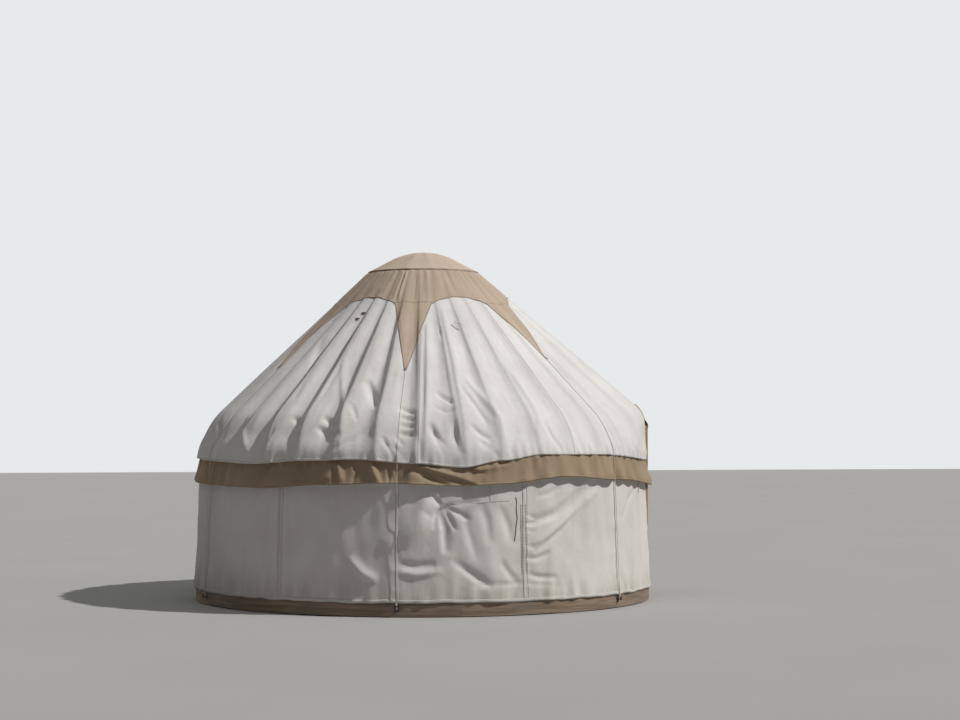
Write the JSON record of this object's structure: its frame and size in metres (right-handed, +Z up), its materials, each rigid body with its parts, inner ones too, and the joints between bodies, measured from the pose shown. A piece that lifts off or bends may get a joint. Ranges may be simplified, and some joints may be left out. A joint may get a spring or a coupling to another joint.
{
  "type": "canvas yurt on a timber platform",
  "caption": "Round canvas yurt with a lattice wall, bent roof poles, a crown wheel under a star-shaped cap, a valance band and an open doorway, on a low timber platform.",
  "frame": {"origin": "on the ground, under the middle of the round platform", "axes": "+Z up, the middle of the doorway faces -Y"},
  "size_m": [4.9804, 4.97, 3.7873],
  "materials": {
    "cream_canvas": "woven cotton canvas, matt, softly creased",
    "taupe_canvas": "woven cotton canvas in a sandy brown, matt",
    "ash_wood": "oiled ash, straight grain",
    "door_timber": "oiled planed timber",
    "platform_timber": "weathered sawn boards",
    "webbing": "flat woven band",
    "rope": "thin laid rope",
    "dark_iron": "dull black iron"
  },
  "bodies": {
    "root": {"back_poles": "ash_wood", "crown_arches": "ash_wood", "crown_cap_dome": "taupe_canvas", "crown_cap_star": "taupe_canvas", "crown_rim": "ash_wood", "door_flap_roll": "cream_canvas", "door_jambs": "door_timber", "door_lintel": "door_timber", "door_pelmet": "taupe_canvas", "door_poles": "ash_wood", "door_threshold": "door_timber", "floor_deck": "platform_timber", "lattice_panel_1": "ash_wood", "lattice_panel_2": "ash_wood", "lattice_panel_3": "ash_wood", "lattice_panel_4": "ash_wood", "lattice_panel_5": "ash_wood", "lattice_panel_6": "ash_wood", "lattice_panel_7": "ash_wood", "left_poles": "ash_wood", "platform_joists": "platform_timber", "platform_rim": "platform_timber", "right_poles": "ash_wood", "roof_canvas_back": "cream_canvas", "roof_canvas_door": "cream_canvas", "roof_canvas_left": "cream_canvas", "roof_canvas_left_front": "cream_canvas", "roof_canvas_right": "cream_canvas", "roof_canvas_right_front": "cream_canvas", "rope_hooks": "dark_iron", "tension_band": "webbing", "tie_ropes": "rope", "valance_left": "taupe_canvas", "valance_right": "taupe_canvas", "wall_canvas_1": "cream_canvas", "wall_canvas_10": "cream_canvas", "wall_canvas_11": "cream_canvas", "wall_canvas_2": "cream_canvas", "wall_canvas_3": "cream_canvas", "wall_canvas_4": "cream_canvas", "wall_canvas_5": "cream_canvas", "wall_canvas_6": "cream_canvas", "wall_canvas_7": "cream_canvas", "wall_canvas_8": "cream_canvas", "wall_canvas_9": "cream_canvas"}
  },
  "joints": []
}
